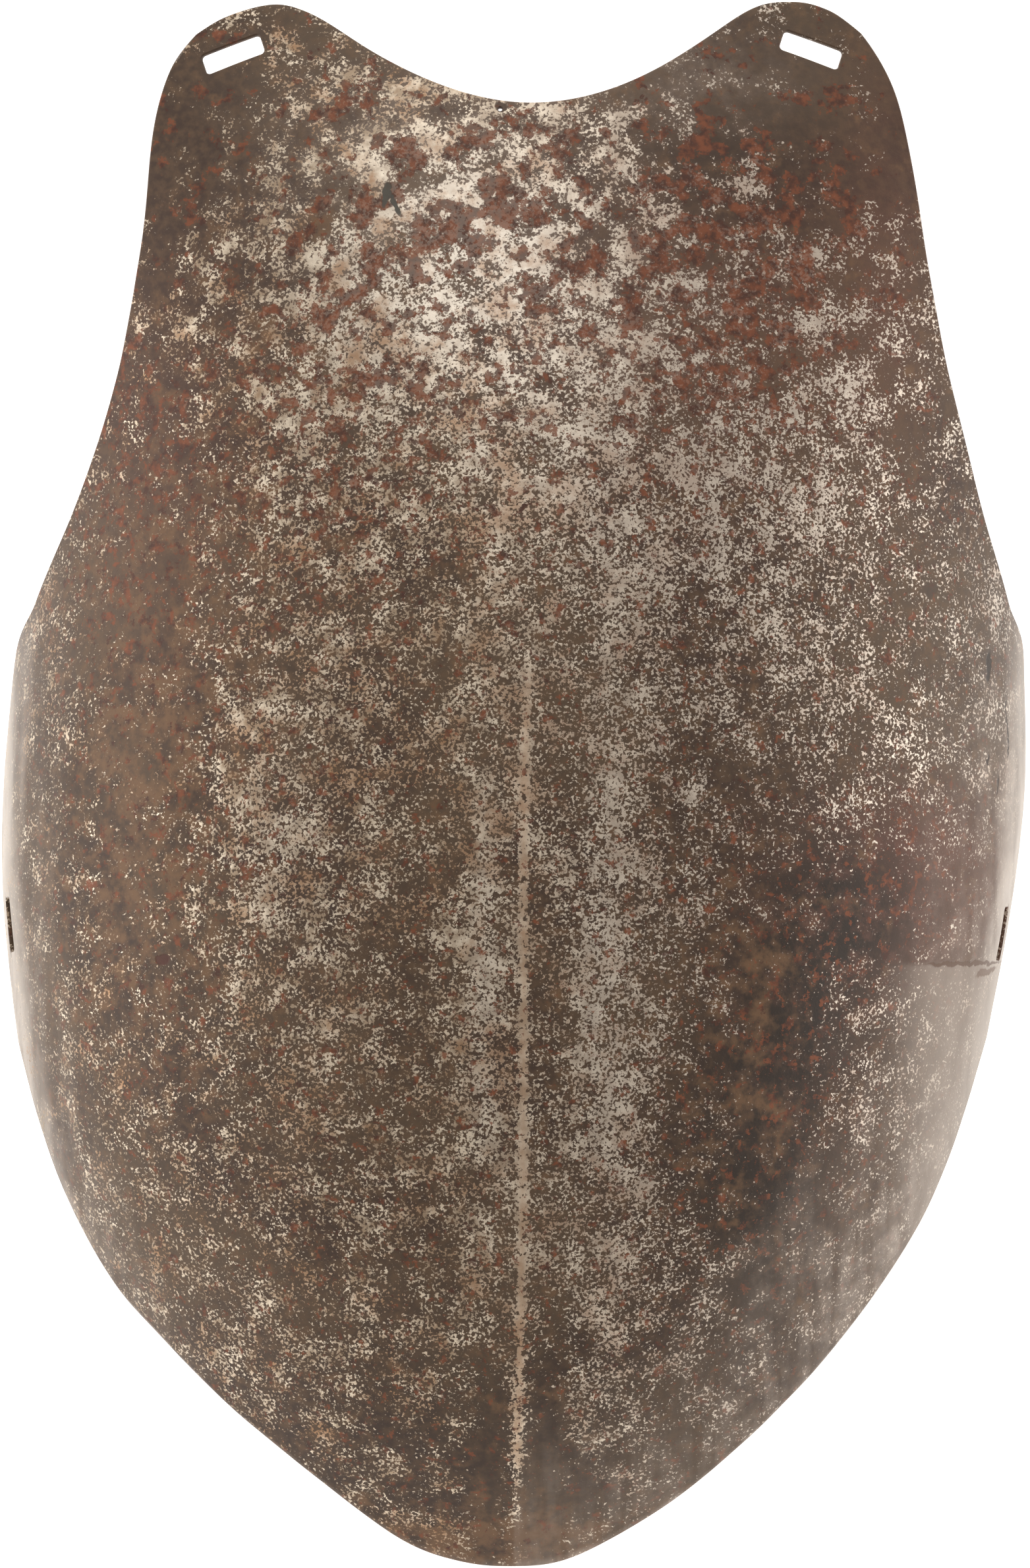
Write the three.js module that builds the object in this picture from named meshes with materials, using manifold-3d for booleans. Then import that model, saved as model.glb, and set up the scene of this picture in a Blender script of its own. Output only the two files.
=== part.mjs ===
// Steel breastplate, raised from one plate: a round chest, a low keel down the belly to a pointed end,
// two lobes with slots for shoulder straps and two slots near the side edges for side straps.
// Millimetres. It lies face up on its two side edges: +X to the wearer's left, +Y to the neck, +Z out.
// Left and right are as seen from the front.
import * as THREE from 'three';
import { mergeVertices } from 'three/addons/utils/BufferGeometryUtils.js';
import Module from 'manifold-3d';

// Driving dimensions
const LENGTH = 500; // lower point to the tops of the lobes
const WIDTH = 328.5; // across the side edges
const DEPTH = 112; // side edges' feet to the crest
const SHEET = 2; // thickness of the steel
const KEEL_HIGH = 3; // how far the keel stands out where it is sharpest
const KEEL_WIDE = 13; // how far each flank of the keel reaches
const STRAP_SLOT_LONG = 20; // slots in the lobes
const STRAP_SLOT_WIDE = 7.2;
const SIDE_SLOT_LONG = 17.5; // slots in the side walls
const SIDE_SLOT_WIDE = 6;
const SIDE_SLOT_RISE = 10; // middle of a side slot above the foot of its edge
const SLOT_CORNER = 1.4; // radius of every slot's corners
const PIN_HOLE = 1.4; // diameter of the small hole under the neckline

// How fine the faceted skin is
const COLUMNS = 46;
const ROWS = 44;
const EVEN_SHARE = 0.45; // of the columns' spacing, the rest closes up towards the side walls
const CORNER_STEPS = 3;
const PIN_HOLE_SIDES = 10;

const CUTTER_DEEP = 5 * SHEET; // every cutter runs well past both faces of the sheet
const SLOPE_STEP = 0.002; // share of a length over which the skin's slope is taken
const WELD = 1e-4; // points closer than this are one

// Sections of the body from the lower point (along 0) to the lobes (along 1, shares of LENGTH).
// Each is two quarter ellipses that meet at the crest. crest: its height, fall: the ellipses' height,
// shares of DEPTH. middle: the crest's place across, left and right: the half widths, shares of WIDTH.
const BODY = [
  { along: 0.0, crest: 0.34, middle: 0.0, left: 0.322, right: 0.306, fall: 0.94 },
  { along: 0.08, crest: 0.62, middle: 0.003, left: 0.362, right: 0.345, fall: 0.98 },
  { along: 0.16, crest: 0.804, middle: 0.006, left: 0.417, right: 0.385, fall: 1.05 },
  { along: 0.24, crest: 0.92, middle: 0.008, left: 0.466, right: 0.424, fall: 1.1 },
  { along: 0.32, crest: 0.978, middle: 0.009, left: 0.492, right: 0.448, fall: 1.09 },
  { along: 0.41, crest: 1.0, middle: 0.009, left: 0.507, right: 0.474, fall: 1.08 },
  { along: 0.5, crest: 0.992, middle: 0.01, left: 0.51, right: 0.49, fall: 1.085 },
  { along: 0.58, crest: 0.96, middle: 0.013, left: 0.504, right: 0.488, fall: 1.105 },
  { along: 0.66, crest: 0.908, middle: 0.015, left: 0.5, right: 0.492, fall: 1.13 },
  { along: 0.75, crest: 0.83, middle: 0.016, left: 0.516, right: 0.521, fall: 1.16 },
  { along: 0.83, crest: 0.728, middle: 0.016, left: 0.56, right: 0.564, fall: 1.18 },
  { along: 0.92, crest: 0.59, middle: 0.016, left: 0.625, right: 0.62, fall: 1.12 },
  { along: 1.0, crest: 0.41, middle: 0.016, left: 0.66, right: 0.66, fall: 0.95 },
];

// The armholes' edges, seen from the front: places across, shares of WIDTH from the middle line
const ARMHOLES = [
  { along: 0.58, left: -0.485, right: 0.494 },
  { along: 0.614, left: -0.4686, right: 0.4827 },
  { along: 0.664, left: -0.437, right: 0.46 },
  { along: 0.715, left: -0.407, right: 0.44 },
  { along: 0.766, left: -0.3847, right: 0.4212 },
  { along: 0.816, left: -0.37, right: 0.4065 },
  { along: 0.866, left: -0.359, right: 0.3943 },
  { along: 0.917, left: -0.3514, right: 0.3808 },
  { along: 0.946, left: -0.3405, right: 0.368 },
  { along: 0.963, left: -0.329, right: 0.355 },
  { along: 0.981, left: -0.307, right: 0.3355 },
  { along: 1.0, left: -0.279, right: 0.3085 },
];
const ARMHOLE_FOOT_SHARE = ARMHOLES[0].along;
const ARMHOLE_LEAD_SHARE = 0.035; // how far along the edge takes to leave the floor

// The neckline with the lobes, and the lower edge: round runs from -1 at the left side edge
// over 0 at the crest to 1 at the right side edge
const UPPER_EDGE = [
  { round: -1.0, along: 0.979 },
  { round: -0.975, along: 0.9868 },
  { round: -0.95, along: 0.991 },
  { round: -0.92, along: 0.9941 },
  { round: -0.88, along: 0.9969 },
  { round: -0.825, along: 0.9984 },
  { round: -0.74, along: 0.9958 },
  { round: -0.61, along: 0.9863 },
  { round: -0.42, along: 0.966 },
  { round: -0.2, along: 0.9434 },
  { round: 0.0, along: 0.9345 },
  { round: 0.2, along: 0.943 },
  { round: 0.42, along: 0.9662 },
  { round: 0.6, along: 0.9865 },
  { round: 0.71, along: 0.9958 },
  { round: 0.78, along: 0.9992 },
  { round: 0.85, along: 1.0 },
  { round: 0.9, along: 0.9994 },
  { round: 0.93, along: 0.9978 },
  { round: 0.955, along: 0.9952 },
  { round: 0.978, along: 0.9904 },
  { round: 1.0, along: 0.9795 },
];
const LOWER_EDGE = [
  { round: -1.0, along: 0.335 },
  { round: -0.963, along: 0.31 },
  { round: -0.926, along: 0.26 },
  { round: -0.888, along: 0.206 },
  { round: -0.81, along: 0.158 },
  { round: -0.683, along: 0.106 },
  { round: -0.533, along: 0.0585 },
  { round: -0.372, along: 0.02 },
  { round: -0.222, along: 0.005 },
  { round: -0.1, along: 0.0005 },
  { round: 0.0, along: 0.0 },
  { round: 0.1, along: 0.001 },
  { round: 0.222, along: 0.0075 },
  { round: 0.335, along: 0.0205 },
  { round: 0.511, along: 0.0565 },
  { round: 0.648, along: 0.106 },
  { round: 0.764, along: 0.157 },
  { round: 0.85, along: 0.208 },
  { round: 0.91, along: 0.26 },
  { round: 0.958, along: 0.31 },
  { round: 1.0, along: 0.338 },
];

// The keel: high is a share of KEEL_HIGH, wide a share of KEEL_WIDE
const KEEL = [
  { along: 0.0, high: 0.25, wide: 1.0 },
  { along: 0.09, high: 1.0, wide: 1.0 },
  { along: 0.2, high: 0.7, wide: 0.8 },
  { along: 0.45, high: 0.4, wide: 0.6 },
  { along: 0.56, high: 0.12, wide: 0.6 },
  { along: 0.62, high: 0.0, wide: 0.6 },
];
const KEEL_TOP_SHARE = KEEL[KEEL.length - 1].along;

// Slots, with turn as the angle of their length from the cross direction, counterclockwise from the front
const STRAP_SLOTS = [
  { round: -0.833, along: 0.966, turn: 23 },
  { round: 0.803, along: 0.9688, turn: -22 },
];
const SIDE_SLOTS = [
  { side: -1, along: 0.41, turn: 95 },
  { side: 1, along: 0.404, turn: 90 },
];
const PIN_PLACE = { round: -0.077, along: 0.93 };

// A natural cubic spline of one column of a table over another
function spline(rows, over, column) {
  const last = rows.length - 1;
  const at = rows.map((row) => row[over]);
  const value = rows.map((row) => row[column]);
  const bend = new Array(rows.length).fill(0);
  const carry = new Array(rows.length).fill(0);
  for (let i = 1; i < last; i++) {
    const before = at[i] - at[i - 1];
    const after = at[i + 1] - at[i];
    const turn = (value[i + 1] - value[i]) / after - (value[i] - value[i - 1]) / before;
    const weight = 2 * (before + after) - before * carry[i - 1];
    carry[i] = after / weight;
    bend[i] = (6 * turn - before * bend[i - 1]) / weight;
  }
  for (let i = last - 1; i > 0; i--) {
    bend[i] -= carry[i] * bend[i + 1];
  }
  return (x) => {
    let i = 0;
    while (i < last - 1 && x > at[i + 1]) i++;
    const step = at[i + 1] - at[i];
    const low = (at[i + 1] - x) / step;
    const high = 1 - low;
    const sag = (low ** 3 - low) * bend[i] + (high ** 3 - high) * bend[i + 1];
    return low * value[i] + high * value[i + 1] + (sag * step ** 2) / 6;
  };
}

const body = {
  crest: spline(BODY, 'along', 'crest'),
  middle: spline(BODY, 'along', 'middle'),
  left: spline(BODY, 'along', 'left'),
  right: spline(BODY, 'along', 'right'),
  fall: spline(BODY, 'along', 'fall'),
};
const armhole = { left: spline(ARMHOLES, 'along', 'left'), right: spline(ARMHOLES, 'along', 'right') };
const keel = { high: spline(KEEL, 'along', 'high'), wide: spline(KEEL, 'along', 'wide') };
const upperEdge = spline(UPPER_EDGE, 'round', 'along');
const lowerEdge = spline(LOWER_EDGE, 'round', 'along');

// Angle round the ellipse where the skin is this high
function angleAtHeight(height, along) {
  return Math.acos(1 - (body.crest(along) - height / DEPTH) / body.fall(along));
}

// Angle round the ellipse of the side edge: the floor ends it, or higher up the armhole
function edgeAngle(side, along) {
  const floor = angleAtHeight(0, along);
  if (along < ARMHOLE_FOOT_SHARE) return floor;
  const half = side < 0 ? body.left(along) : body.right(along);
  const edge = side < 0 ? armhole.left(along) : armhole.right(along);
  const reach = (side * (edge - body.middle(along))) / half;
  const cut = Math.min(floor, Math.asin(Math.min(1, reach)));
  const end = ARMHOLE_FOOT_SHARE + ARMHOLE_LEAD_SHARE;
  return THREE.MathUtils.lerp(floor, cut, THREE.MathUtils.smoothstep(along, ARMHOLE_FOOT_SHARE, end));
}

// How far the keel lifts the skin at a place this far from the crest
function keelLift(across, along) {
  if (along > KEEL_TOP_SHARE) return 0;
  return KEEL_HIGH * keel.high(along) * Math.exp(-Math.abs(across) / (KEEL_WIDE * keel.wide(along)));
}

// A point of the outer skin
function skinPoint(round, along) {
  const side = Math.sign(round) || 1;
  const half = WIDTH * (side < 0 ? body.left(along) : body.right(along));
  const angle = Math.abs(round) * edgeAngle(side, along);
  const across = side * half * Math.sin(angle);
  const height = DEPTH * (body.crest(along) - body.fall(along) * (1 - Math.cos(angle)));
  return new THREE.Vector3(
    WIDTH * body.middle(along) + across,
    LENGTH * (along - 0.5),
    Math.max(0, height + keelLift(across, along)),
  );
}

// The skin's outward direction, across a short step each way
function skinNormal(round, along) {
  const east = skinPoint(Math.min(1, round + SLOPE_STEP), along);
  const west = skinPoint(Math.max(-1, round - SLOPE_STEP), along);
  const north = skinPoint(round, along + SLOPE_STEP);
  const south = skinPoint(round, along - SLOPE_STEP);
  return east.sub(west).cross(north.sub(south)).normalize();
}

// Columns lie closer together towards the side walls, where the skin turns most
function columnRound(column) {
  const half = COLUMNS / 2;
  const share = Math.abs(column - half) / half;
  const round = EVEN_SHARE * share + (1 - EVEN_SHARE) * Math.sin((share * Math.PI) / 2);
  return Math.sign(column - half) * round;
}

// The whole plate before its slots: outer skin, inner skin and the rim between them
function plateGeometry() {
  const outer = [];
  const inner = [];
  for (let column = 0; column <= COLUMNS; column++) {
    const round = columnRound(column);
    const from = lowerEdge(round);
    const to = upperEdge(round);
    for (let row = 0; row <= ROWS; row++) {
      const along = from + ((to - from) * row) / ROWS;
      const point = skinPoint(round, along);
      const within = point.clone().addScaledVector(skinNormal(round, along), -SHEET);
      within.z = Math.max(0, within.z);
      outer.push(point);
      inner.push(within);
    }
  }
  const index = [];
  const at = (column, row) => column * (ROWS + 1) + row;
  const face = (a, b, c, d) => index.push(a, b, c, a, c, d);
  const skin = outer.length;
  for (let column = 0; column < COLUMNS; column++) {
    for (let row = 0; row < ROWS; row++) {
      const corners = [at(column, row), at(column + 1, row), at(column + 1, row + 1), at(column, row + 1)];
      face(...corners);
      face(...corners.map((corner) => corner + skin).reverse());
    }
  }
  const rim = (a, b) => face(b, a, a + skin, b + skin);
  for (let column = 0; column < COLUMNS; column++) {
    rim(at(column, 0), at(column + 1, 0));
    rim(at(column + 1, ROWS), at(column, ROWS));
  }
  for (let row = 0; row < ROWS; row++) {
    rim(at(0, row + 1), at(0, row));
    rim(at(COLUMNS, row), at(COLUMNS, row + 1));
  }
  const geometry = new THREE.BufferGeometry().setFromPoints([...outer, ...inner]);
  geometry.setIndex(index);
  return geometry;
}

// Sets a cutter, made along Z round its own middle, square to the skin at a place
function standOnSkin(geometry, round, along, turn) {
  const normal = skinNormal(round, along);
  const up = new THREE.Vector3(0, 1, 0).addScaledVector(normal, -normal.y).normalize();
  const side = up.clone().cross(normal);
  const angle = THREE.MathUtils.degToRad(turn);
  const long = side.clone().multiplyScalar(Math.cos(angle)).addScaledVector(up, Math.sin(angle));
  const short = normal.clone().cross(long);
  const place = new THREE.Matrix4().makeBasis(long, short, normal);
  place.setPosition(skinPoint(round, along).addScaledVector(normal, -SHEET / 2));
  return geometry.applyMatrix4(place);
}

// A slot's cutter: a rectangle with round corners, pushed through the sheet with room to spare
function slotCutter(long, wide) {
  const x = long / 2;
  const y = wide / 2;
  const r = SLOT_CORNER;
  const shape = new THREE.Shape();
  shape.moveTo(-x + r, -y);
  shape.lineTo(x - r, -y);
  shape.absarc(x - r, -y + r, r, -Math.PI / 2, 0);
  shape.absarc(x - r, y - r, r, 0, Math.PI / 2);
  shape.absarc(-x + r, y - r, r, Math.PI / 2, Math.PI);
  shape.absarc(-x + r, -y + r, r, Math.PI, (3 * Math.PI) / 2);
  const settings = { depth: CUTTER_DEEP, bevelEnabled: false, curveSegments: CORNER_STEPS };
  return new THREE.ExtrudeGeometry(shape, settings).translate(0, 0, -CUTTER_DEEP / 2);
}

function pinCutter() {
  const radius = PIN_HOLE / 2;
  return new THREE.CylinderGeometry(radius, radius, CUTTER_DEEP, PIN_HOLE_SIDES).rotateX(Math.PI / 2);
}

// Every cutter where it goes
function cutters() {
  const strap = STRAP_SLOTS.map((slot) => {
    const cutter = slotCutter(STRAP_SLOT_LONG, STRAP_SLOT_WIDE);
    return standOnSkin(cutter, slot.round, slot.along, slot.turn);
  });
  const side = SIDE_SLOTS.map((slot) => {
    const round = slot.side * (angleAtHeight(SIDE_SLOT_RISE, slot.along) / edgeAngle(slot.side, slot.along));
    return standOnSkin(slotCutter(SIDE_SLOT_LONG, SIDE_SLOT_WIDE), round, slot.along, slot.turn);
  });
  const pin = standOnSkin(pinCutter(), PIN_PLACE.round, PIN_PLACE.along, 0);
  return [...strap, ...side, pin];
}

const wasm = await Module();
wasm.setup();

// A closed geometry as a solid that can be cut
function solid(geometry) {
  const bare = geometry.clone();
  bare.deleteAttribute('normal');
  bare.deleteAttribute('uv');
  const merged = mergeVertices(bare, WELD);
  return new wasm.Manifold(
    new wasm.Mesh({
      numProp: 3,
      vertProperties: new Float32Array(merged.attributes.position.array),
      triVerts: new Uint32Array(merged.index.array),
    }),
  );
}

// A cut solid as a geometry again
function geometryOf(cut) {
  const mesh = cut.getMesh();
  const geometry = new THREE.BufferGeometry();
  geometry.setAttribute('position', new THREE.BufferAttribute(mesh.vertProperties, 3));
  geometry.setIndex(new THREE.BufferAttribute(mesh.triVerts, 1));
  return geometry;
}

function breastplate() {
  const cut = cutters().reduce((plate, cutter) => plate.subtract(solid(cutter)), solid(plateGeometry()));
  const steel = new THREE.MeshStandardMaterial({ color: 0x7d6c60, metalness: 0.85, roughness: 0.5 });
  const mesh = new THREE.Mesh(geometryOf(cut), steel);
  mesh.name = 'breastplate';
  return mesh;
}

const part = new THREE.Group();
part.add(breastplate());

export default part;
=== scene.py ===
"""Looks of the steel breastplate: worn brown steel on a pale floor, seen square from the front.

Lengths are millimetres in the tables and in the making of the mesh, and metres in the scene.
Left and right are as seen from the front: +X right, +Y to the neck, +Z out of the chest.
"""
import math
from functools import partial

import bpy
import numpy as np
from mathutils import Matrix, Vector, noise
from mathutils.bvhtree import BVHTree


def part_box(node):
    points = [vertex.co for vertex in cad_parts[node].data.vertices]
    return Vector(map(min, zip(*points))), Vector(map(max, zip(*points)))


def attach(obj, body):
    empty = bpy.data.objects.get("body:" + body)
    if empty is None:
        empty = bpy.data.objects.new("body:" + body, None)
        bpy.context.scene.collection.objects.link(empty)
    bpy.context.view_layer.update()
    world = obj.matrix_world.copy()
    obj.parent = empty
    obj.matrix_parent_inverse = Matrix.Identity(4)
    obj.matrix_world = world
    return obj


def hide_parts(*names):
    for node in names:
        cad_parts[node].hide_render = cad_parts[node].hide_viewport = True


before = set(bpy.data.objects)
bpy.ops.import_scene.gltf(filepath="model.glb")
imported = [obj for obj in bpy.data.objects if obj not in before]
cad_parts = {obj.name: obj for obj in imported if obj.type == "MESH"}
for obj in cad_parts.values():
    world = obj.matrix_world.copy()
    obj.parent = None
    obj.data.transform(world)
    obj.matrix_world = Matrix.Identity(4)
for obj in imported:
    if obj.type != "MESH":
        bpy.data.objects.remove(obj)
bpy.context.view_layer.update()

# Sizes

METRE = 0.001
plate_low, plate_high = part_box("breastplate")
plate_size = (plate_high - plate_low) / METRE
LENGTH = plate_size.y  # lower point to the tops of the lobes
WIDTH = plate_size.x * 1.0016  # the body's sections are shares of this
DEPTH = plate_size.z * 0.98788  # up to the crest, without the keel
SHEET = 2.0  # thickness of the steel
KEEL_HIGH = 3.0
KEEL_WIDE = 13.0
KEEL_WORN = 0.9  # how far from its crest the keel has worn round
STRAP_SLOT = (20.0, 7.2)  # long and wide
SIDE_SLOT = (17.5, 6.0)
SIDE_SLOT_RISE = 10.0  # middle of a side slot above the foot of its edge
SLOT_CORNER = 1.4
PIN_HOLE = 1.4
RIM_ROUND = 0.6  # how far in from the edge the rim starts to round over
HAMMER_WAVE = 34.0  # from one hammer hollow to the next
HAMMER_DEEP = 0.35
INNER_WAVE = 15.0
INNER_DEEP = 0.3

# How fine the mesh is
COLUMNS = 260
ROWS = 166
EVEN_SHARE = 0.8
RIM_STEPS = 4
SLOPE_STEP = 0.002

# The photo's frame: 1563 x 2380 dots
PHOTO_HIGH = 2380
PLATE_DOTS = 2376  # length of the plate in it
DOT = LENGTH / PLATE_DOTS
FRAME_HIGH = PHOTO_HIGH * DOT
FRAME_MIDDLE = (DOT, 0.0)
CAMERA_FAR = 10000.0
SHARP_HEIGHT = 30.0  # height at which the frame is measured

# Sections of the body from the lower point (along 0) to the lobes (along 1), as in the part's source:
# crest, fall shares of DEPTH; middle, left, right shares of WIDTH
BODY = {
    "along": (0, .08, .16, .24, .32, .41, .5, .58, .66, .75, .83, .92, 1),
    "crest": (.34, .62, .804, .92, .978, 1, .992, .96, .908, .83, .728, .59, .41),
    "middle": (0, .003, .006, .008, .009, .009, .01, .013, .015, .016, .016, .016, .016),
    "left": (.322, .362, .417, .466, .492, .507, .51, .504, .5, .516, .56, .625, .66),
    "right": (.306, .345, .385, .424, .448, .474, .49, .488, .492, .521, .564, .62, .66),
    "fall": (.94, .98, 1.05, 1.1, 1.09, 1.08, 1.085, 1.105, 1.13, 1.16, 1.18, 1.12, .95),
}
ARMHOLES = {
    "along": (.58, .614, .664, .715, .766, .816, .866, .917, .946, .963, .981, 1),
    "left": (-.485, -.4686, -.437, -.407, -.3847, -.37, -.359, -.3514, -.3405, -.329, -.307, -.279),
    "right": (.494, .4827, .46, .44, .4212, .4065, .3943, .3808, .368, .355, .3355, .3085),
}
ARMHOLE_FOOT = .58
ARMHOLE_LEAD = .035  # how far along the edge takes to leave the floor
UPPER_EDGE = {
    "round": (-1, -.975, -.95, -.92, -.88, -.825, -.74, -.61, -.42, -.2, 0,
              .2, .42, .6, .71, .78, .85, .9, .93, .955, .978, 1),
    "along": (.979, .9868, .991, .9941, .9969, .9984, .9958, .9863, .966, .9434, .9345,
              .943, .9662, .9865, .9958, .9992, 1, .9994, .9978, .9952, .9904, .9795),
}
LOWER_EDGE = {
    "round": (-1, -.963, -.926, -.888, -.81, -.683, -.533, -.372, -.222, -.1, 0, .1, .222, .335,
              .511, .648, .764, .85, .91, .958, 1),
    "along": (.335, .31, .26, .206, .158, .106, .0585, .02, .005, .0005, 0, .001, .0075, .0205,
              .0565, .106, .157, .208, .26, .31, .338),
}
KEEL = {
    "along": (0, .09, .2, .45, .56, .62),
    "high": (.25, 1, .7, .4, .12, 0),
    "wide": (1, 1, .8, .6, .6, .6),
}
KEEL_TOP = .62
# round, along, turn in degrees
STRAP_SLOTS = ((-.833, .966, 23), (.803, .9688, -22))
# side, along, turn
SIDE_SLOTS = ((-1, .41, 95), (1, .404, 90))
PIN_PLACE = (-.077, .93)


def spline(table, over, column):
    """A natural cubic spline of one column of a table over another."""
    at = np.array(table[over], float)
    value = np.array(table[column], float)
    step = np.diff(at)
    count = len(at)
    matrix = np.eye(count)
    right = np.zeros(count)
    for i in range(1, count - 1):
        matrix[i, i - 1:i + 2] = step[i - 1], 2 * (step[i - 1] + step[i]), step[i]
        right[i] = 6 * ((value[i + 1] - value[i]) / step[i] - (value[i] - value[i - 1]) / step[i - 1])
    bend = np.linalg.solve(matrix, right)

    def read(x):
        x = np.asarray(x, float)
        i = np.clip(np.searchsorted(at, x) - 1, 0, count - 2)
        low = (at[i + 1] - x) / step[i]
        high = 1 - low
        sag = (low ** 3 - low) * bend[i] + (high ** 3 - high) * bend[i + 1]
        return low * value[i] + high * value[i + 1] + sag * step[i] ** 2 / 6

    return read


body = {name: spline(BODY, "along", name) for name in ("crest", "middle", "left", "right", "fall")}
armhole = {name: spline(ARMHOLES, "along", name) for name in ("left", "right")}
keel = {name: spline(KEEL, "along", name) for name in ("high", "wide")}
upper_edge = spline(UPPER_EDGE, "round", "along")
lower_edge = spline(LOWER_EDGE, "round", "along")


def half_width(side, along):
    return np.where(side < 0, body["left"](along), body["right"](along))


def angle_at_height(height, along):
    """Angle round the ellipse where the skin is this high."""
    return np.arccos(1 - (body["crest"](along) - height / DEPTH) / body["fall"](along))


def edge_angle(side, along):
    """Angle round the ellipse of the side edge: the floor ends it, or higher up the armhole."""
    floor = angle_at_height(0, along)
    edge = np.where(side < 0, armhole["left"](along), armhole["right"](along))
    reach = side * (edge - body["middle"](along)) / half_width(side, along)
    cut = np.minimum(floor, np.arcsin(np.clip(reach, -1, 1)))
    lead = np.clip((along - ARMHOLE_FOOT) / ARMHOLE_LEAD, 0, 1)
    return floor + (cut - floor) * lead ** 2 * (3 - 2 * lead)


def keel_lift(across, along):
    distance = np.sqrt(across ** 2 + KEEL_WORN ** 2) - KEEL_WORN
    lift = KEEL_HIGH * keel["high"](along) * np.exp(-distance / (KEEL_WIDE * keel["wide"](along)))
    return np.where(along > KEEL_TOP, 0, lift)


def skin_point(around, along):
    """A point of the outer skin, in millimetres."""
    side = np.where(around < 0, -1.0, 1.0)
    angle = np.abs(around) * edge_angle(side, along)
    across = side * WIDTH * half_width(side, along) * np.sin(angle)
    height = DEPTH * (body["crest"](along) - body["fall"](along) * (1 - np.cos(angle)))
    height = np.maximum(0, height + keel_lift(across, along))
    return np.stack([WIDTH * body["middle"](along) + across, LENGTH * (along - .5), height], -1)


def unit(vectors):
    return vectors / np.linalg.norm(vectors, axis=-1, keepdims=True)


def skin_normal(around, along):
    east = skin_point(np.minimum(1, around + SLOPE_STEP), along)
    west = skin_point(np.maximum(-1, around - SLOPE_STEP), along)
    north = skin_point(around, along + SLOPE_STEP)
    south = skin_point(around, along - SLOPE_STEP)
    return unit(np.cross(east - west, north - south))


def swell(points, wave, seed):
    """Soft random height between about -1 and 1 at each point, with one hollow a wave long."""
    shift = Vector((seed, -seed, seed))
    return np.array([noise.fractal(Vector(p) / wave + shift, 1.0, 2.0, 2) for p in points])


def on_floor(points):
    points[:, 2] = np.maximum(0, points[:, 2])
    return points


def plate_mesh():
    """The plate before its slots: hammered outer and inner skins joined by a worn round rim."""
    share = np.linspace(-1, 1, COLUMNS + 1)
    around = EVEN_SHARE * share + (1 - EVEN_SHARE) * np.sin(share * math.pi / 2)
    step = np.linspace(0, 1, ROWS + 1)
    low = lower_edge(around)[:, None]
    along = low + (upper_edge(around)[:, None] - low) * step
    around = np.repeat(around[:, None], ROWS + 1, 1)
    out = skin_normal(around, along).reshape(-1, 3)
    outer = skin_point(around, along).reshape(-1, 3)
    outer = outer + out * (HAMMER_DEEP * swell(outer, HAMMER_WAVE, 3.7))[:, None]
    thick = SHEET + INNER_DEEP * swell(outer, INNER_WAVE, 11.3)
    at = np.arange((COLUMNS + 1) * (ROWS + 1)).reshape(COLUMNS + 1, ROWS + 1)
    edge = np.concatenate([at[:, 0], at[-1, 1:], at[-2::-1, -1], at[0, -2:0:-1]])
    thick[edge] = SHEET
    run = outer[np.roll(edge, -1)] - outer[np.roll(edge, 1)]
    away = unit(np.cross(run, out[edge]))
    outer[edge] -= RIM_ROUND * away
    inner = outer - out * thick[:, None]
    middle = outer[edge] - out[edge] * SHEET / 2
    rim = []
    for i in range(1, RIM_STEPS + 1):
        angle = math.pi * i / (RIM_STEPS + 1)
        rim.append(middle + out[edge] * math.cos(angle) * SHEET / 2 + away * math.sin(angle) * RIM_ROUND)
    points = np.concatenate([on_floor(outer), on_floor(inner), *[on_floor(ring) for ring in rim]])
    quads = np.stack([at[:-1, :-1], at[1:, :-1], at[1:, 1:], at[:-1, 1:]], -1).reshape(-1, 4)
    skin = len(outer)
    rings = [edge]
    rings += [2 * skin + i * len(edge) + np.arange(len(edge)) for i in range(RIM_STEPS)]
    rings += [edge + skin]
    bands = [np.stack([np.roll(a, -1), a, b, np.roll(b, -1)], -1) for a, b in zip(rings, rings[1:])]
    faces = np.concatenate([quads, quads[:, ::-1] + skin, *bands])
    inside = np.zeros(len(faces), int)
    inside[len(quads):2 * len(quads)] = 1
    tree = BVHTree.FromPolygons(outer.tolist(), quads.tolist())
    return points, faces, inside, tree


def new_object(name, points, faces):
    mesh = bpy.data.meshes.new(name)
    mesh.from_pydata((np.asarray(points) * METRE).tolist(), [], [list(face) for face in faces])
    mesh.validate()
    made = bpy.data.objects.new(name, mesh)
    bpy.context.scene.collection.objects.link(made)
    return made


# Slots

# Height above the outer face, and how much wider the cut is there: its lips are worn round
CUT_LEVELS = ((2, .6), (.15, .5), (-.05, .32), (-.2, .14), (-.45, 0), (-1.55, 0), (-1.8, .14), (-1.95, .32),
              (-2.15, .5), (-4, .6))
CORNER_STEPS = 5
SIDE_STEPS = 8
SIDE_SLOT_WORN = 0.6  # how worn its lips are, against a strap slot's
PIN_HOLE_WORN = 0.5
PIN_HOLE_CORNER = PIN_HOLE / 2 - 0.01  # a hair short of round, so that no two points fall together


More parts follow.
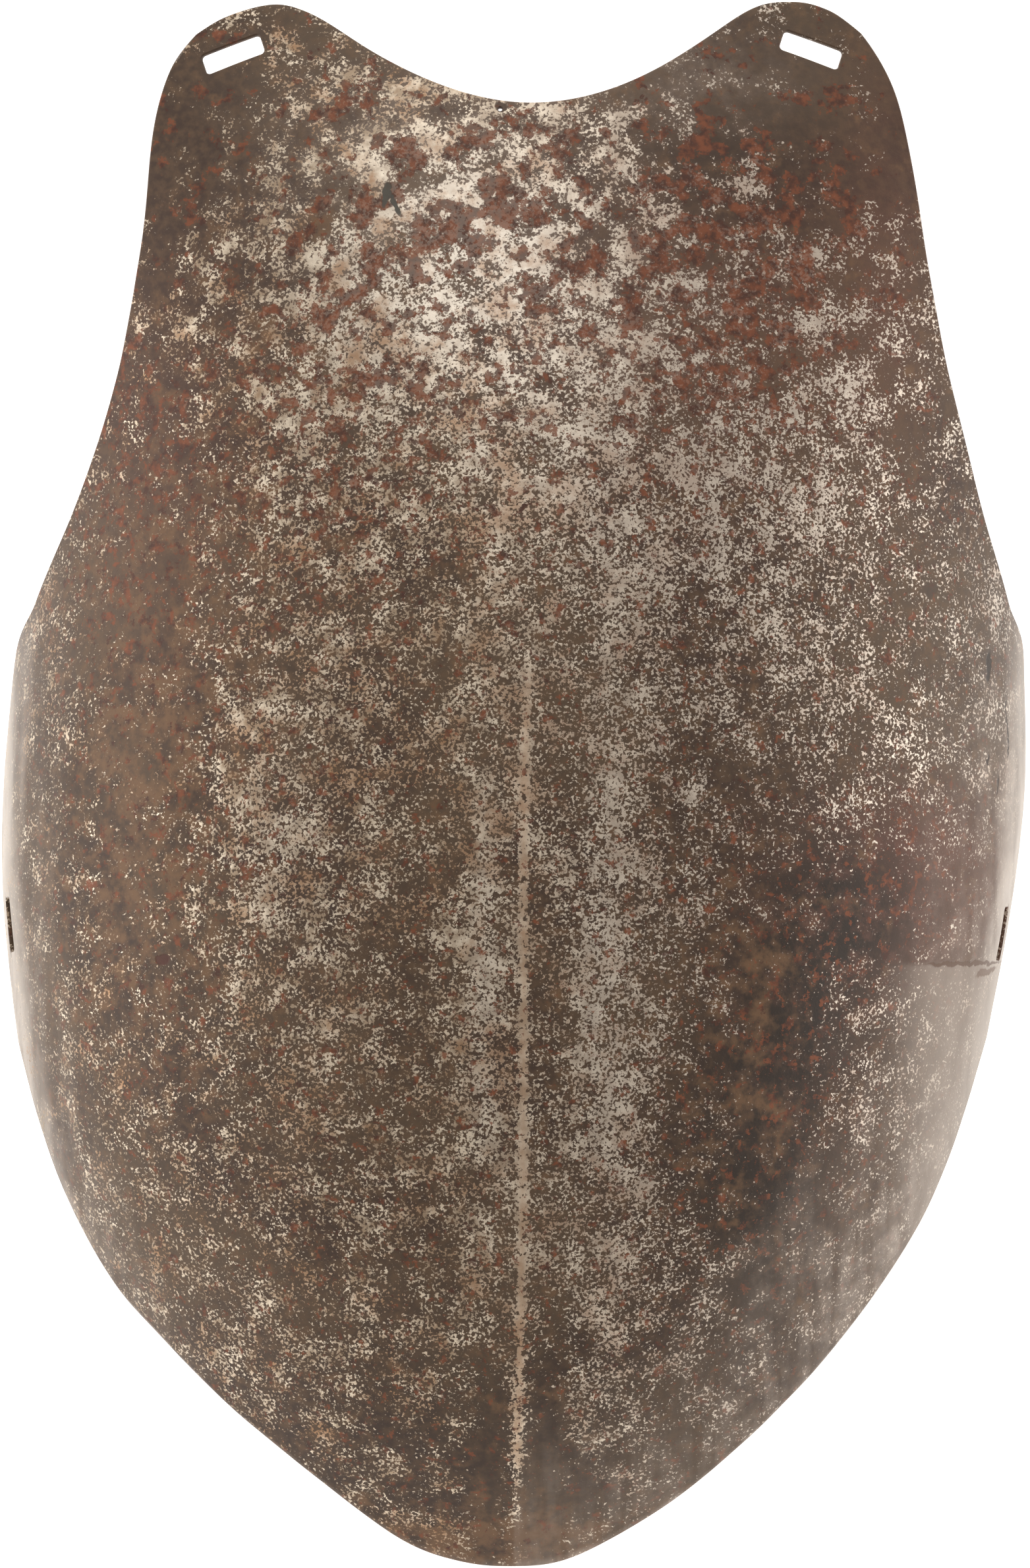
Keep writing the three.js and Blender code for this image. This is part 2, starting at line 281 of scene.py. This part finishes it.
def slot_outline(long, wide, corner, grow):
    """Points round a slot with round corners."""
    points = []
    x, y, r = long / 2 + grow, wide / 2 + grow, corner + grow
    centres = ((x - r, -y + r), (x - r, y - r), (-x + r, y - r), (-x + r, -y + r))
    for quarter, (cx, cy) in enumerate(centres):
        for i in range(CORNER_STEPS + 1):
            angle = (quarter - 1 + i / CORNER_STEPS) * math.pi / 2
            points.append((cx + r * math.cos(angle), cy + r * math.sin(angle)))
        nx, ny = centres[(quarter + 1) % 4]
        angle = quarter * math.pi / 2
        start = points[-1]
        end = (nx + r * math.cos(angle), ny + r * math.sin(angle))
        for i in range(1, SIDE_STEPS):
            part = i / SIDE_STEPS
            points.append((start[0] + (end[0] - start[0]) * part, start[1] + (end[1] - start[1]) * part))
    return points


def cutter(tree, around, along, turn, outline, worn):
    """A closed plug through the sheet whose rings follow the skin, as points and faces."""
    centre = skin_point(np.array(around), np.array(along))
    out = skin_normal(np.array(around), np.array(along))
    up = unit(np.array([0, 1, 0]) - out * out[1])
    side = np.cross(up, out)
    angle = math.radians(turn)
    long = side * math.cos(angle) + up * math.sin(angle)
    short = np.cross(out, long)
    points = []
    for height, grow in CUT_LEVELS:
        for x, y in outline(grow * worn):
            near, direction, _, _ = tree.find_nearest(Vector(centre + long * x + short * y))
            points.append(near + direction * height)
    count = len(points) // len(CUT_LEVELS)
    faces = [list(range(count)), [len(points) - 1 - i for i in range(count)]]
    for level in range(len(CUT_LEVELS) - 1):
        for i in range(count):
            j = (i + 1) % count
            a, b = level * count, (level + 1) * count
            faces.append([a + j, a + i, b + i, b + j])
    return points, faces


def cutters(tree):
    """One object with a plug for every slot and for the pin hole."""
    strap = partial(slot_outline, *STRAP_SLOT, SLOT_CORNER)
    side_slot = partial(slot_outline, *SIDE_SLOT, SLOT_CORNER)
    pin = partial(slot_outline, PIN_HOLE, PIN_HOLE, PIN_HOLE_CORNER)
    plugs = [cutter(tree, around, along, turn, strap, 1) for around, along, turn in STRAP_SLOTS]
    for side, along, turn in SIDE_SLOTS:
        around = side * float(angle_at_height(SIDE_SLOT_RISE, along) / edge_angle(side, along))
        plugs.append(cutter(tree, around, along, turn, side_slot, SIDE_SLOT_WORN))
    plugs.append(cutter(tree, *PIN_PLACE, 0, pin, PIN_HOLE_WORN))
    points, faces = [], []
    for plug_points, plug_faces in plugs:
        faces += [[i + len(points) for i in face] for face in plug_faces]
        points += [tuple(point) for point in plug_points]
    return new_object("slot_cutters", points, faces)


# Surface

# Soft areas. Each row is one place on the plate, seen from the front: x and y of its
# middle, its reach each way, and how strongly it adds to the layer (less than nothing takes away).
# wear: the brown has worn off and bare metal shows
WEAR = (
    (-14, 174, 50, 50, .42),
    (-64, 130, 34, 60, .16),
    (20, 100, 60, 50, .24),
    (90, 96, 26, 50, .1),
    (-78, -14, 30, 50, .26),
    (-9, -70, 9, 105, .3),
    (28, -62, 12, 105, .3),
    # This row keeps a band right of the middle darker, partly as painted shade
    (80, -95, 20, 75, -.45),
    (118, -40, 26, 26, -.34),
    (-118, 20, 24, 110, -.34),
    (130, 100, 16, 60, -.16),
    (-118, 215, 40, 36, -.5),
    (116, 218, 40, 36, -.5),
    (60, 225, 30, 22, -.24),
    (0, -225, 90, 30, -.16),
)
# rust: red-brown blotches
RUST = (
    (72, 188, 34, 34, .5),
    (74, 140, 45, 34, .3),
    (-20, 180, 60, 40, .42),
    (20, 130, 110, 60, .3),
    (-60, 110, 40, 50, .35),
    (128, -30, 26, 24, .3),
    (80, -85, 22, 60, .22),
    (-122, 105, 24, 70, .4),
    (-95, -20, 40, 60, .16),
)
# tan: a thin orange-tan film
TAN = (
    (-118, -30, 26, 75, .7),
    (0, -246, 40, 14, 1.3),
    (-100, 60, 35, 60, .4),
    (-60, 130, 40, 70, .3),
    (74, -75, 22, 60, .5),
)
# A thin pale grey film in the brown, partly painted highlight: the upper chest, tipped up to the light, is
# painted paler, and the last row is a painted highlight along the right of the neckline, where the edge
# catches the light
HAZE_AND_HIGHLIGHT = (
    (-26, 192, 46, 36, .75),
    (0, 150, 50, 40, .35),
    (56, 224, 34, 16, .35),
)
# ruddy: the brown itself is redder and smoother
RUDDY = (
    (-112, 105, 30, 70, .3),
    (128, -34, 34, 28, 1.5),
    (92, -80, 26, 60, .4),
    (70, 150, 60, 55, .5),
    (118, 175, 14, 70, .4),
)
# Darker, thicker brown, partly real stain and partly painted shade: the first two rows darken a band right
# of the middle, where the steel reflects a dark gap between the lights
STAIN_AND_SHADE = (
    (98, -48, 26, 45, .85),
    (78, -118, 23, 62, 1.15),
    (70, 200, 30, 30, .5),
    (0, -205, 60, 40, .35),
    (120, -40, 25, 22, .4),
)
AREAS = {"wear": WEAR, "rust": RUST, "haze_and_highlight": HAZE_AND_HIGHLIGHT, "ruddy": RUDDY, "tan": TAN, "stain_and_shade": STAIN_AND_SHADE}
# upper: near the neck. grey_side: to the right. The two sheen layers: a painted sheen on the side walls, and
# a painted highlight where they are steepest.
# keel_line and keel_flank: along the keel
LAYERS = (*AREAS, "upper", "grey_side", "painted_side_sheen", "edge_sheen", "keel_line", "keel_flank")
EVEN_WEAR = .44  # wear all over the plate
# Where a layer starts and over how many millimetres it grows: up the plate, across it, down it and down it
UPPER_FROM, UPPER_FADE = 90, 90
GREY_FROM, GREY_FADE = -20, 80
WALL_TOP, WALL_FADE = 60, 60
SIDE_SHEEN_LOW_FROM, SIDE_SHEEN_LOW_FADE = -90, 60
# How squarely the surface faces the viewer where the painted sheen or the painted highlight starts: 1 at the
# crest, 0 on a wall on edge
SIDE_SHEEN_LEFT, SIDE_SHEEN_RIGHT, SIDE_SHEEN_FADE = .64, .74, .42
SIDE_SHEEN_LOW_RIGHT = .14  # how much further in the right wall's painted sheen reaches, lower down
SHEEN_FROM, SHEEN_FADE = .4, .25
# Along the keel: widths are millimetres, and places and fades are shares of LENGTH
KEEL_LINE_WIDE = 1.35
FLANK_OFF, FLANK_WIDE = 9, 5
KEEL_LINE_WORN = .68
KEEL_POINT_WORN = .03  # how much more it has worn near the lower point
KEEL_LINE_TOP, KEEL_LINE_TOP_FADE = KEEL_TOP - .03, .06
KEEL_LINE_LOW, KEEL_LINE_LOW_FADE = .02, .07
POINT_TOP, POINT_FADE = .2, .12

# Cracks, scars and spots: x, y, half length, half width, turn of the length, colour, strength
MARKS = (
    (-40.5, 187.5, 4.6, 1.2, 75, "#4b4a43", .9),
    (-37.8, 184.2, 4.2, .8, 112, "#4b4a43", .9),
    (151.4, 37.4, 5.2, .9, 86, "#3b332c", .9),
    (157.4, 17.2, 9.6, .28, 92, "#443932", .9),
    (154.3, -.4, 3.4, .3, 84, "#443932", .9),
    (151.0, 7.6, 2.4, .35, 84, "#443932", .9),
    (132.4, 62.0, 3.2, 2.4, 40, "#4a3d33", .6),
    (-111.6, -55.8, 2.4, 2.0, 20, "#4e2a20", .9),
    (-4.2, 215.6, 2.0, 1.6, 0, "#4a3a2e", .7),
    (143.5, -57.3, 13, .8, 1, "#634a3a", .85),
    (150.4, -60.2, 3.6, 1.2, 20, "#6d5341", .8),
)


def soft_areas(table, x, y):
    total = np.zeros(len(x))
    for middle_x, middle_y, reach_x, reach_y, strength in table:
        total += strength * np.exp(-((x - middle_x) / reach_x) ** 2 - ((y - middle_y) / reach_y) ** 2)
    return total


def surface_layers(mesh):
    """How much of each layer the surface has at each point of the mesh, by the layer's name."""
    points = np.empty(len(mesh.vertices) * 3, np.float32)
    mesh.vertices.foreach_get("co", points)
    x, y, _ = points.reshape(-1, 3).T / METRE
    normals = np.empty(len(mesh.vertices) * 3, np.float32)
    mesh.vertex_normals.foreach_get("vector", normals)
    facing = normals.reshape(-1, 3)[:, 2]
    along = np.clip(y / LENGTH + .5, 0, 1)
    off_keel = np.abs(x - WIDTH * body["middle"](along))
    low_side = np.clip((WALL_TOP - y) / WALL_FADE, 0, 1)
    near_point = np.clip((POINT_TOP - along) / POINT_FADE, 0, 1)
    low_right = SIDE_SHEEN_LOW_RIGHT * np.clip((SIDE_SHEEN_LOW_FROM - y) / SIDE_SHEEN_LOW_FADE, 0, 1)
    side_sheen_from = np.where(x > 0, SIDE_SHEEN_RIGHT + low_right, SIDE_SHEEN_LEFT)
    line_ends = np.clip((KEEL_LINE_TOP - along) / KEEL_LINE_TOP_FADE, 0, 1)
    line_ends = line_ends * np.clip((along - KEEL_LINE_LOW) / KEEL_LINE_LOW_FADE, 0, 1)
    layers = {name: soft_areas(table, x, y) for name, table in AREAS.items()}
    layers["wear"] += EVEN_WEAR
    layers["upper"] = (y - UPPER_FROM) / UPPER_FADE
    layers["grey_side"] = (x - GREY_FROM) / GREY_FADE
    # A painted sheen on the side walls and a painted highlight on their steepest parts, each growing as the
    # wall turns away from the front, and lower down
    layers["painted_side_sheen"] = np.clip((side_sheen_from - facing) / SIDE_SHEEN_FADE, 0, 1) * (.15 + .85 * low_side)
    layers["edge_sheen"] = np.clip((SHEEN_FROM - facing) / SHEEN_FADE, 0, 1) * (.25 + .75 * low_side)
    line_worn = (KEEL_LINE_WORN + KEEL_POINT_WORN * near_point) * line_ends
    layers["keel_line"] = np.exp(-(off_keel / KEEL_LINE_WIDE) ** 2) * line_worn
    layers["keel_flank"] = np.exp(-((off_keel - FLANK_OFF) / FLANK_WIDE) ** 2) * near_point
    return layers


def store_layers(mesh):
    """Keeps the layers on the mesh, where the materials read them."""
    for name, values in surface_layers(mesh).items():
        layer = mesh.attributes.new(name, "FLOAT", "POINT")
        layer.data.foreach_set("value", np.clip(values, 0, 1).astype(np.float32))


# Materials

# Sockets that go by number
FACTOR, COLOR_A, COLOR_B = 0, 6, 7
MIXED = 2
ATTRIBUTE_VALUE = 2
OBJECT_PLACE = 3

# Patterns in the worn steel: the size of one patch in millimetres, its detail and how rough that is, and
# a shift that keeps it apart from the others. The real grain is finer than the render can show, so it
# is drawn at 1 mm.
PATTERNS = {
    "grain": (1.0, 2, .6, 0),
    "clump": (11, 6, .68, 40),
    "broad": (60, 3, .55, 90),
    "fine": (3.2, 3, .55, 140),
    "film": (9, 4, .6, 200),
    "blotch": (9, 7, .68, 260),
    "speckle": (4, 5, .7, 300),
    "pits": (2, 2, .55, 320),
    "tone": (6, 4, .55, 380),
    "tinge": (14, 5, .65, 440),
}
SHIFT_SLANT = 1.7
STREAK_DRAW = (.25, .02, .04)  # patches in a millimetre each way: fine across the plate, long up and down
WANDER = 3.0  # how far the edges of the marks wander
WANDER_SIZE = 4
WANDER_SHIFT = (500, 500 * SHIFT_SLANT, -500)
WIPED_FROM, WIPED_TO = -54.5, -57.5
GRAIN_DEEP = .25
THROUGH = 10000  # a mark goes right through the plate, so its height says nothing

# Scores: where each starts, and what is added to it, each with its weight or what it is multiplied by
SCORES = {
    "tan_film": (0, (("film", 1), ("fine", .35), ("tan", .3))),
    "blotch_gain": (0, (("blotch", 1), ("speckle", -1))),
    "rustiness": (0, (("speckle", 1), ("upper", "blotch_gain"), ("rust", .16), ("grain", .08))),
    "brown_tinge": (0, (("tinge", 1), ("fine", .2))),
    "neck_gain": (-2.6, (("clump", 7), ("grain", -2))),
    # Fewer bare grains show under the painted sheen of the side walls
    "worn": (-11.75, (("grain", 14), ("clump", 9.5), ("wear", 5), ("upper", "neck_gain"), ("keel_line", 6.5),
                      ("keel_flank", -2), ("painted_side_sheen", -1))),
}

# Coats, from the lowest up: the layer that keeps it to its places, the pattern that breaks it up, that
# pattern's values where the coat starts and where it is whole, how thick it is at each, and its colour.
# A coat that is as thick at both is not broken up.
RUST_EDGE = (.63, .655)
PATINA = "#423127"
PATINA_COATS = (
    (None, "broad", .38, .62, 0, 1, "#564535"),
    (None, "clump", .42, .66, 0, 1, "#4c3a2b"),
    (None, "fine", .35, .7, 0, .6, "#67503a"),
    ("ruddy", "clump", .3, .6, .6, 1, "#694639"),
    # Pale grey film, partly painted highlight on the upper chest and along the neckline
    ("haze_and_highlight", "clump", .35, .6, .25, .9, "#a08f82"),
    # Darker, thicker brown, partly painted shade in a band right of the middle
    ("stain_and_shade", "clump", .72, .42, 0, 1, "#2f241c"),
    (None, "tan_film", .72, 1.02, 0, .75, "#7a5b40"),
    (None, "rustiness", *RUST_EDGE, 0, .9, "rust_color"),
    # A painted sheen on the side walls, then a painted highlight where they are steepest
    ("painted_side_sheen", "clump", .35, .6, .35, .8, "side_sheen_color"),
    ("edge_sheen", "streak", .25, .6, .35, .95, "#d6ccc2"),
    ("wiped", "warped_x", 118, 138, 0, .6, "#a3968b"),
)
RED_RUST = "#4a2b1f"
RED_RUST_COATS = ((None, "fine", .35, .65, 0, 1, "#80482d"),)
# The colour of the painted sheen on the side walls: grey, with paler streaks
SIDE_SHEEN_GREY = "#7f7063"
SIDE_SHEEN_GREY_COATS = ((None, "streak", .3, .7, 0, 1, "#b2a498"),)
BARE_STEEL = "#a38f79"
BARE_STEEL_COATS = (
    (None, "tone", .35, .65, 0, 1, "#e5d6c1"),
    (None, "wear", .55, 1, 0, 1, "#e2d8ca"),
    (None, "brown_tinge", .55, .78, 0, .75, "#a27a58"),
    ("grey_side", "clump", 0, 1, .6, .6, "#cbc0b6"),
    ("keel_line", "clump", 0, 1, .6, .6, "#c9a688"),
)
# What bares or covers the steel: two of its values, and how bare it leaves the steel at each
BARED_BY = (
    ("worn", 2.5, 3.9, 0, 1),
    ("rusty", 1, 0, .15, 1),
    ("pits", .36, .42, 0, 1),
    ("marked", 0, .6, 1, 0),
)

INNER_BLOTCH = 28
INNER_GRAIN = 1.9
INNER_PIT_DEEP = .3


def linear(hex_color):
    """An sRGB hex colour as linear RGBA."""
    shares = [int(hex_color[i:i + 2], 16) / 255 for i in (1, 3, 5)]
    return (*[s / 12.92 if s <= .04045 else ((s + .055) / 1.055) ** 2.4 for s in shares], 1)


def add(tree, kind, links, out=0, **settings):
    """Adds a node with its settings, sets or links its inputs, and returns one of its outputs."""
    made = tree.nodes.new(kind)
    for name, value in settings.items():
        setattr(made, name, value)
    for socket, value in links.items():
        if isinstance(value, bpy.types.NodeSocket):
            tree.links.new(value, made.inputs[socket])
        else:
            made.inputs[socket].default_value = value
    return made.outputs[out] if made.outputs else None


def new_material(name):
    made = bpy.data.materials.new(name)
    made.use_nodes = True
    made.node_tree.nodes.clear()
    return made, made.node_tree


def lay_coats(tree, source, base, coats):
    """The colour of a base with its coats over it."""
    color = linear(base)
    for layer, pattern, start, whole, thin, thick, coat in coats:
        cover = add(tree, "ShaderNodeMapRange", {0: source[pattern], 1: start, 2: whole, 3: thin, 4: thick},
                    interpolation_type="SMOOTHSTEP")
        if layer:
            cover = add(tree, "ShaderNodeMath", {0: source[layer], 1: cover}, operation="MULTIPLY")
        coat_color = source[coat] if coat in source else linear(coat)
        color = add(tree, "ShaderNodeMix", {FACTOR: cover, COLOR_A: color, COLOR_B: coat_color}, MIXED,
                    data_type="RGBA")
    return color


def worn_sources(tree, place):
    """The worn steel's patterns, layers and scores by name, each as the output of a node."""
    source = {}
    for name, (size, detail, rough, shift) in PATTERNS.items():
        spot = add(tree, "ShaderNodeVectorMath", {0: place, 1: (shift, shift * SHIFT_SLANT, -shift)},
                   operation="ADD")
        source[name] = add(tree, "ShaderNodeTexNoise", {"Vector": spot, "Scale": 1 / size, "Detail": detail,
                                                        "Roughness": rough})
    drawn = add(tree, "ShaderNodeVectorMath", {0: place, 1: STREAK_DRAW}, operation="MULTIPLY")
    source["streak"] = add(tree, "ShaderNodeTexNoise", {"Vector": drawn, "Scale": 1, "Detail": 4})
    for name in LAYERS:
        source[name] = add(tree, "ShaderNodeAttribute", {}, ATTRIBUTE_VALUE, attribute_name=name)
    for name, (total, parts) in SCORES.items():
        for part, weight in parts:
            total = add(tree, "ShaderNodeMath", {0: source[part], 1: source.get(weight, weight), 2: total},
                        operation="MULTIPLY_ADD")
        source[name] = total
    return source


def worn_steel():
    """Raised steel sheet under a brown oxide patina. The patina is matt and brown with red rust in it;
    where it has worn off, the bare steel glints in grains the size of coarse sand."""
    material, tree = new_material("brown_patinated_steel")
    where = add(tree, "ShaderNodeTexCoord", {}, OBJECT_PLACE)
    place = add(tree, "ShaderNodeVectorMath", {0: where, 3: 1 / METRE}, operation="SCALE")
    source = worn_sources(tree, place)
    # The marks and the wiped line have edges that wander
    spot = add(tree, "ShaderNodeVectorMath", {0: place, 1: WANDER_SHIFT}, operation="ADD")
    wander = add(tree, "ShaderNodeTexNoise", {"Vector": spot, "Scale": 1 / WANDER_SIZE, "Detail": 3}, 1)
    warped = add(tree, "ShaderNodeVectorMath", {0: wander, 1: (WANDER, WANDER, WANDER), 2: place},
                 operation="MULTIPLY_ADD")
    # The right wall is wiped paler below a line
    source["warped_x"] = add(tree, "ShaderNodeSeparateXYZ", {0: warped}, 0)
    warped_y = add(tree, "ShaderNodeSeparateXYZ", {0: warped}, 1)
    source["wiped"] = add(tree, "ShaderNodeMapRange", {0: warped_y, 1: WIPED_FROM, 2: WIPED_TO},
                          interpolation_type="SMOOTHSTEP")
    source["rust_color"] = lay_coats(tree, source, RED_RUST, RED_RUST_COATS)
    # The colour of the painted sheen on the side walls
    source["side_sheen_color"] = lay_coats(tree, source, SIDE_SHEEN_GREY, SIDE_SHEEN_GREY_COATS)
    patina = lay_coats(tree, source, PATINA, PATINA_COATS)
    marked = 0
    for x, y, half_long, half_wide, turn, mark_color, strength in MARKS:
        mark = add(tree, "ShaderNodeMapping", {
            "Vector": warped, "Location": (x + WANDER / 2, y + WANDER / 2, 0),
            "Rotation": (0, 0, math.radians(turn)), "Scale": (half_long, half_wide, THROUGH)},
            vector_type="TEXTURE")
        away = add(tree, "ShaderNodeVectorMath", {0: mark}, 1, operation="LENGTH")
        inside = add(tree, "ShaderNodeMapRange", {0: away, 1: 1.15, 2: .75, 4: strength},
                     interpolation_type="SMOOTHSTEP")
        patina = add(tree, "ShaderNodeMix", {FACTOR: inside, COLOR_A: patina, COLOR_B: linear(mark_color)},
                     MIXED, data_type="RGBA")
        marked = add(tree, "ShaderNodeMath", {0: marked, 1: inside}, operation="MAXIMUM")
    source["marked"] = marked
    source["rusty"] = add(tree, "ShaderNodeMapRange", {0: source["rustiness"], 1: RUST_EDGE[0],
                                                       2: RUST_EDGE[1]}, interpolation_type="SMOOTHSTEP")
    bare = 1
    for name, first, second, at_first, at_second in BARED_BY:
        left = add(tree, "ShaderNodeMapRange", {0: source[name], 1: first, 2: second, 3: at_first,
                                                4: at_second}, interpolation_type="SMOOTHSTEP")
        bare = add(tree, "ShaderNodeMath", {0: bare, 1: left}, operation="MULTIPLY")
    steel = lay_coats(tree, source, BARE_STEEL, BARE_STEEL_COATS)
    color = add(tree, "ShaderNodeMix", {FACTOR: bare, COLOR_A: patina, COLOR_B: steel}, MIXED,
                data_type="RGBA")
    metallic = add(tree, "ShaderNodeMapRange", {0: bare, 3: .25, 4: .85}, interpolation_type="SMOOTHSTEP")
    rough = add(tree, "ShaderNodeMapRange", {0: bare, 3: .52, 4: .4}, interpolation_type="SMOOTHSTEP")
    rough = add(tree, "ShaderNodeMath", {0: source["fine"], 1: .08, 2: rough}, operation="MULTIPLY_ADD")
    height = 0
    for value, rise in ((source["grain"], .5), (bare, .35), (marked, -.9)):
        height = add(tree, "ShaderNodeMath", {0: value, 1: rise, 2: height}, operation="MULTIPLY_ADD")
    bump = add(tree, "ShaderNodeBump", {"Height": height, "Distance": GRAIN_DEEP * METRE, "Strength": .55})
    shader = add(tree, "ShaderNodeBsdfPrincipled", {
        "Base Color": color, "Metallic": metallic, "Roughness": rough, "Normal": bump,
        "Sheen Weight": .2, "Sheen Roughness": .35})
    add(tree, "ShaderNodeOutputMaterial", {"Surface": shader})
    return material


def inner_steel():
    """The inside of the plate: hammer-marked steel gone dark brown, never polished, so it stays dull."""
    material, tree = new_material("dark_hammered_steel")
    where = add(tree, "ShaderNodeTexCoord", {}, OBJECT_PLACE)
    place = add(tree, "ShaderNodeVectorMath", {0: where, 3: 1 / METRE}, operation="SCALE")
    broad = add(tree, "ShaderNodeTexNoise", {"Vector": place, "Scale": 1 / INNER_BLOTCH, "Detail": 7,
                                             "Roughness": .65})
    fine = add(tree, "ShaderNodeTexNoise", {"Vector": place, "Scale": 1 / INNER_GRAIN, "Detail": 3})
    color = linear("#3d302a")
    for pattern, start, whole, coat in ((broad, .38, .64, "#6a4a38"), (fine, .58, .68, "#75675b")):
        cover = add(tree, "ShaderNodeMapRange", {0: pattern, 1: start, 2: whole},
                    interpolation_type="SMOOTHSTEP")
        color = add(tree, "ShaderNodeMix", {FACTOR: cover, COLOR_A: color, COLOR_B: linear(coat)}, MIXED,
                    data_type="RGBA")
    bump = add(tree, "ShaderNodeBump", {"Height": fine, "Distance": INNER_PIT_DEEP * METRE, "Strength": .5})
    shader = add(tree, "ShaderNodeBsdfPrincipled", {"Base Color": color, "Metallic": .3, "Roughness": .62,
                                                    "Normal": bump})
    add(tree, "ShaderNodeOutputMaterial", {"Surface": shader})
    return material


def pale_floor():
    """A white acrylic studio table with a matt top. Light from below takes the shadows off it."""
    material, tree = new_material("white_matt_acrylic")
    shader = add(tree, "ShaderNodeBsdfPrincipled", {
        "Base Color": linear("#f1f0ee"), "Roughness": .7,
        "Emission Color": (1, 1, 1, 1), "Emission Strength": FLOOR_GLOW})
    add(tree, "ShaderNodeOutputMaterial", {"Surface": shader})
    return material


# Studio

FLOOR_GLOW = .8
FLOOR_HALF = 6.0  # metres
FLOOR_DROP = .1
WORLD_LIGHT = .45
HORIZON_LIGHT = 1.3
HORIZON_BAND = (.1, .7)  # sines of the heights over which the light falls from the horizon's to the sky's
SHARP_ANGLE = 42
# Name, where it stands and the size of its face in metres, and its power
LIGHTS = (
    ("key_beyond_neck", (-.15, 1.5, 1.7), 1.2, 8),
    ("left_soft_box", (-1.8, 0, .4), 1.0, 8),
    ("right_soft_box", (1.8, 0, .4), 1.0, 6),
)


def studio():
    scene = bpy.context.scene
    scene.view_settings.view_transform = "Standard"
    world = bpy.data.worlds.new("studio_air")
    world.use_nodes = True
    tree = world.node_tree
    tree.nodes.clear()
    way = add(tree, "ShaderNodeTexCoord", {})
    height = add(tree, "ShaderNodeSeparateXYZ", {0: way}, 2)
    light = add(tree, "ShaderNodeMapRange", {0: height, 1: HORIZON_BAND[0], 2: HORIZON_BAND[1],
                                              3: HORIZON_LIGHT, 4: WORLD_LIGHT},
                interpolation_type="SMOOTHSTEP")
    air = add(tree, "ShaderNodeBackground", {"Color": linear("#fffaf4"), "Strength": light})
    add(tree, "ShaderNodeOutputWorld", {"Surface": air})
    scene.world = world
    half = FLOOR_HALF / METRE
    corners = [(x * half, y * half, -FLOOR_DROP) for x, y in ((-1, -1), (1, -1), (1, 1), (-1, 1))]
    floor = new_object("floor", corners, [(0, 1, 2, 3)])
    floor.data.materials.append(pale_floor())
    for name, spot, size, power in LIGHTS:
        data = bpy.data.lights.new(name, "AREA")
        data.shape = "SQUARE"
        data.size = size
        data.energy = power
        lamp = bpy.data.objects.new(name, data)
        lamp.location = spot
        lamp.rotation_euler = (-Vector(spot)).to_track_quat("-Z", "Y").to_euler()
        scene.collection.objects.link(lamp)
    data = bpy.data.cameras.new("camera")
    data.lens = data.sensor_width * (CAMERA_FAR - SHARP_HEIGHT) / FRAME_HIGH
    data.clip_end = 2 * CAMERA_FAR * METRE
    camera = bpy.data.objects.new("camera", data)
    camera.location = Vector((*FRAME_MIDDLE, CAMERA_FAR)) * METRE
    scene.collection.objects.link(camera)
    scene.camera = camera


def breastplate():
    points, faces, inside, tree = plate_mesh()
    plate = new_object("worn_breastplate", points, faces)
    plate.data.polygons.foreach_set("material_index", inside)
    plate.data.materials.append(worn_steel())
    plate.data.materials.append(inner_steel())
    slots = cutters(tree)
    slots.data.materials.append(plate.data.materials[0])
    cut = plate.modifiers.new("slots", "BOOLEAN")
    cut.object = slots
    cut.operation = "DIFFERENCE"
    cut.solver = "MANIFOLD"
    with bpy.context.temp_override(object=plate, active_object=plate):
        bpy.ops.object.modifier_apply(modifier=cut.name)
    bpy.data.objects.remove(slots)
    plate.data.shade_smooth()
    plate.data.set_sharp_from_angle(angle=math.radians(SHARP_ANGLE))
    store_layers(plate.data)
    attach(plate, "root")
    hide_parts("breastplate")


studio()
breastplate()
